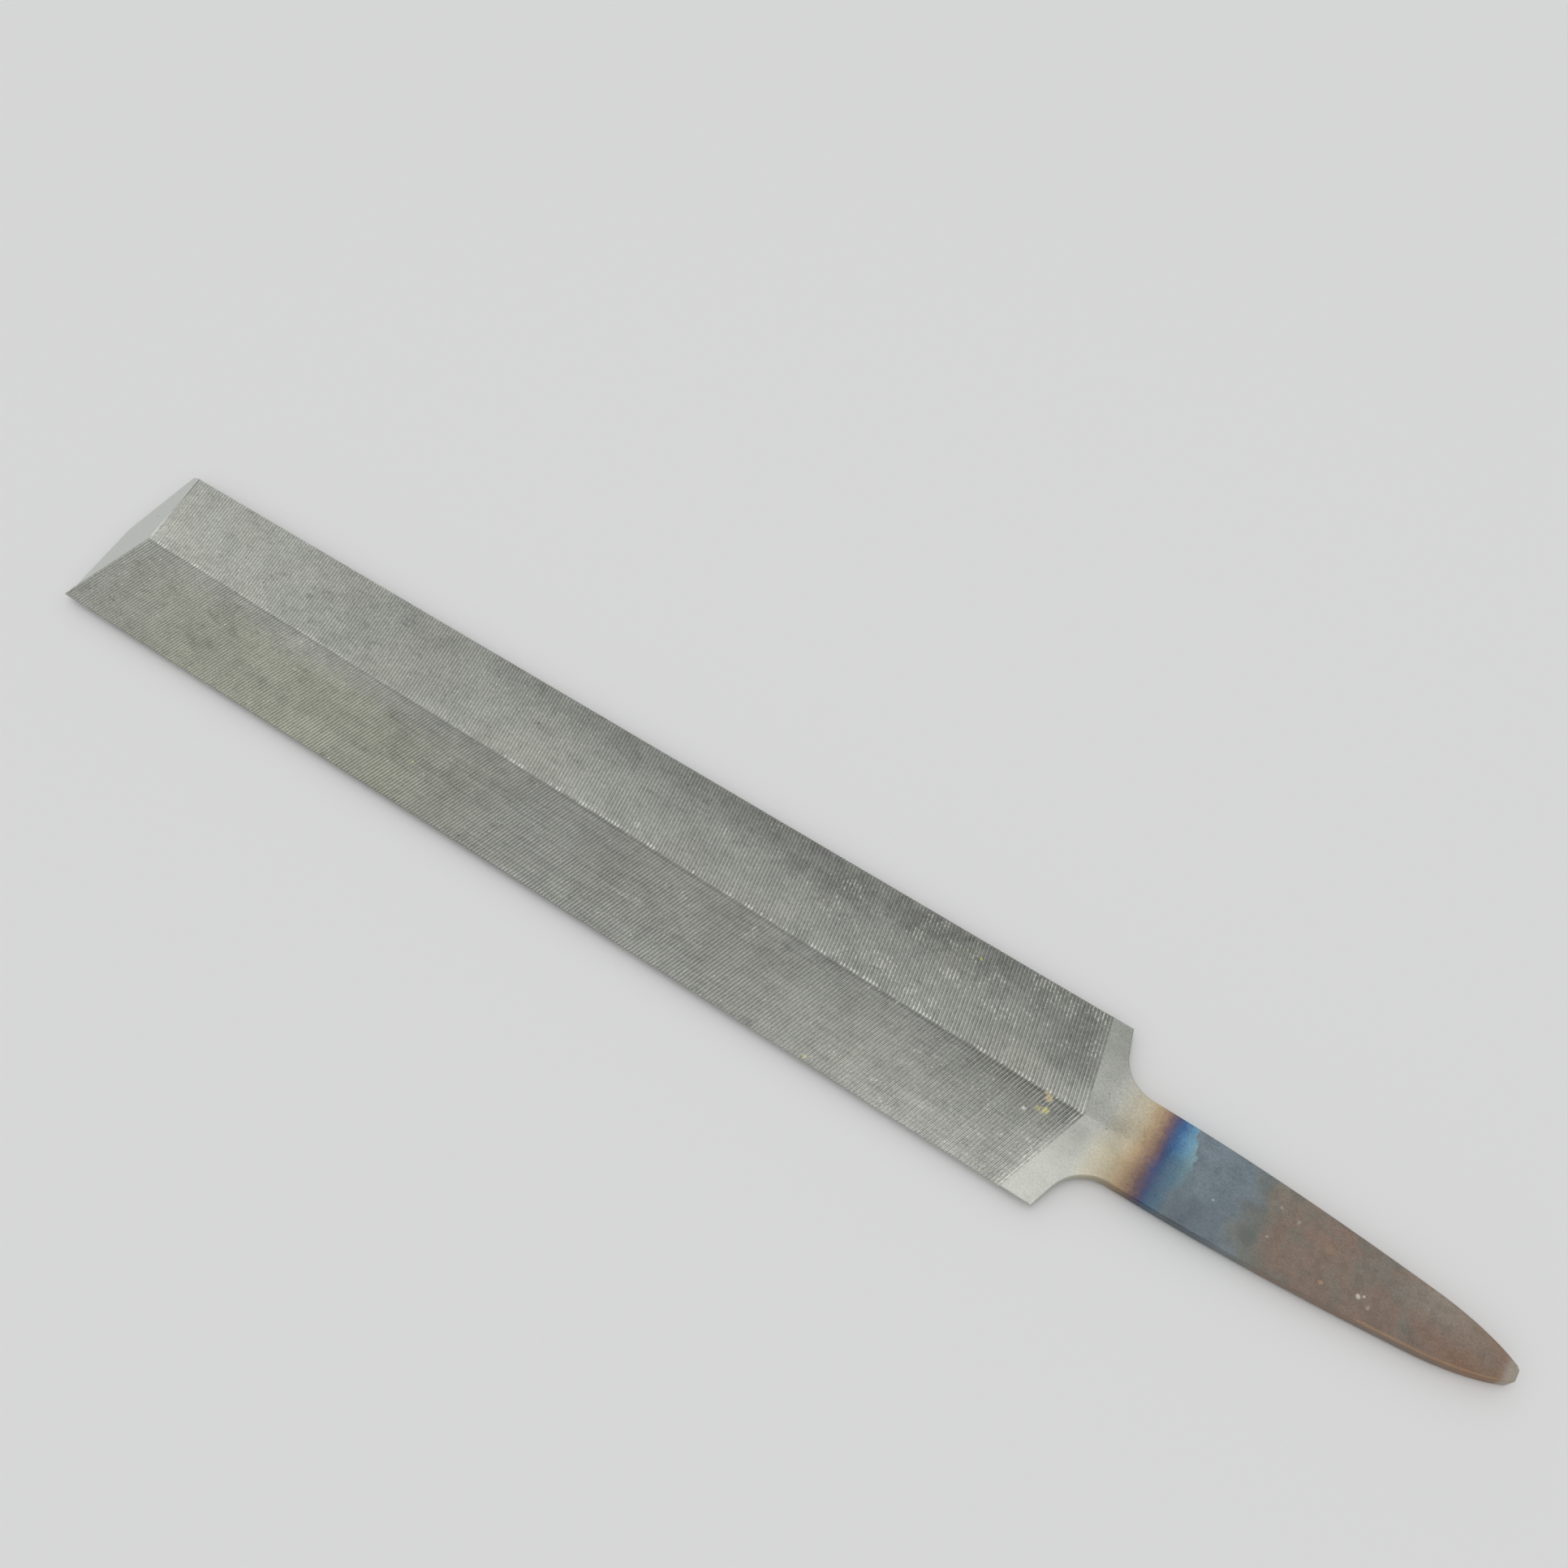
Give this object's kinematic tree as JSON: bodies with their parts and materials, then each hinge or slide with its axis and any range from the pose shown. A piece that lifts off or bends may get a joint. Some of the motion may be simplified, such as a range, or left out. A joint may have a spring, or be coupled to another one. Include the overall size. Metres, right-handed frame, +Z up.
{
  "type": "feather edge saw file",
  "caption": "Thin diamond-section hand file with fine chevron teeth on its four facets, sharp side edges, bevelled tip and a tapered smooth tang.",
  "frame": {"origin": "centre of the tang's blunt end face, on the plane of the two thin edges", "axes": "+X along the file from the tang's end to the tip, +Y across the width, +Z up through the thickness"},
  "size_m": [0.1348, 0.0166, 0.0018],
  "materials": {
    "hardened_steel": "satin, fine single cut"
  },
  "bodies": {
    "root": {"feather_edge_file": "hardened_steel"}
  },
  "joints": []
}
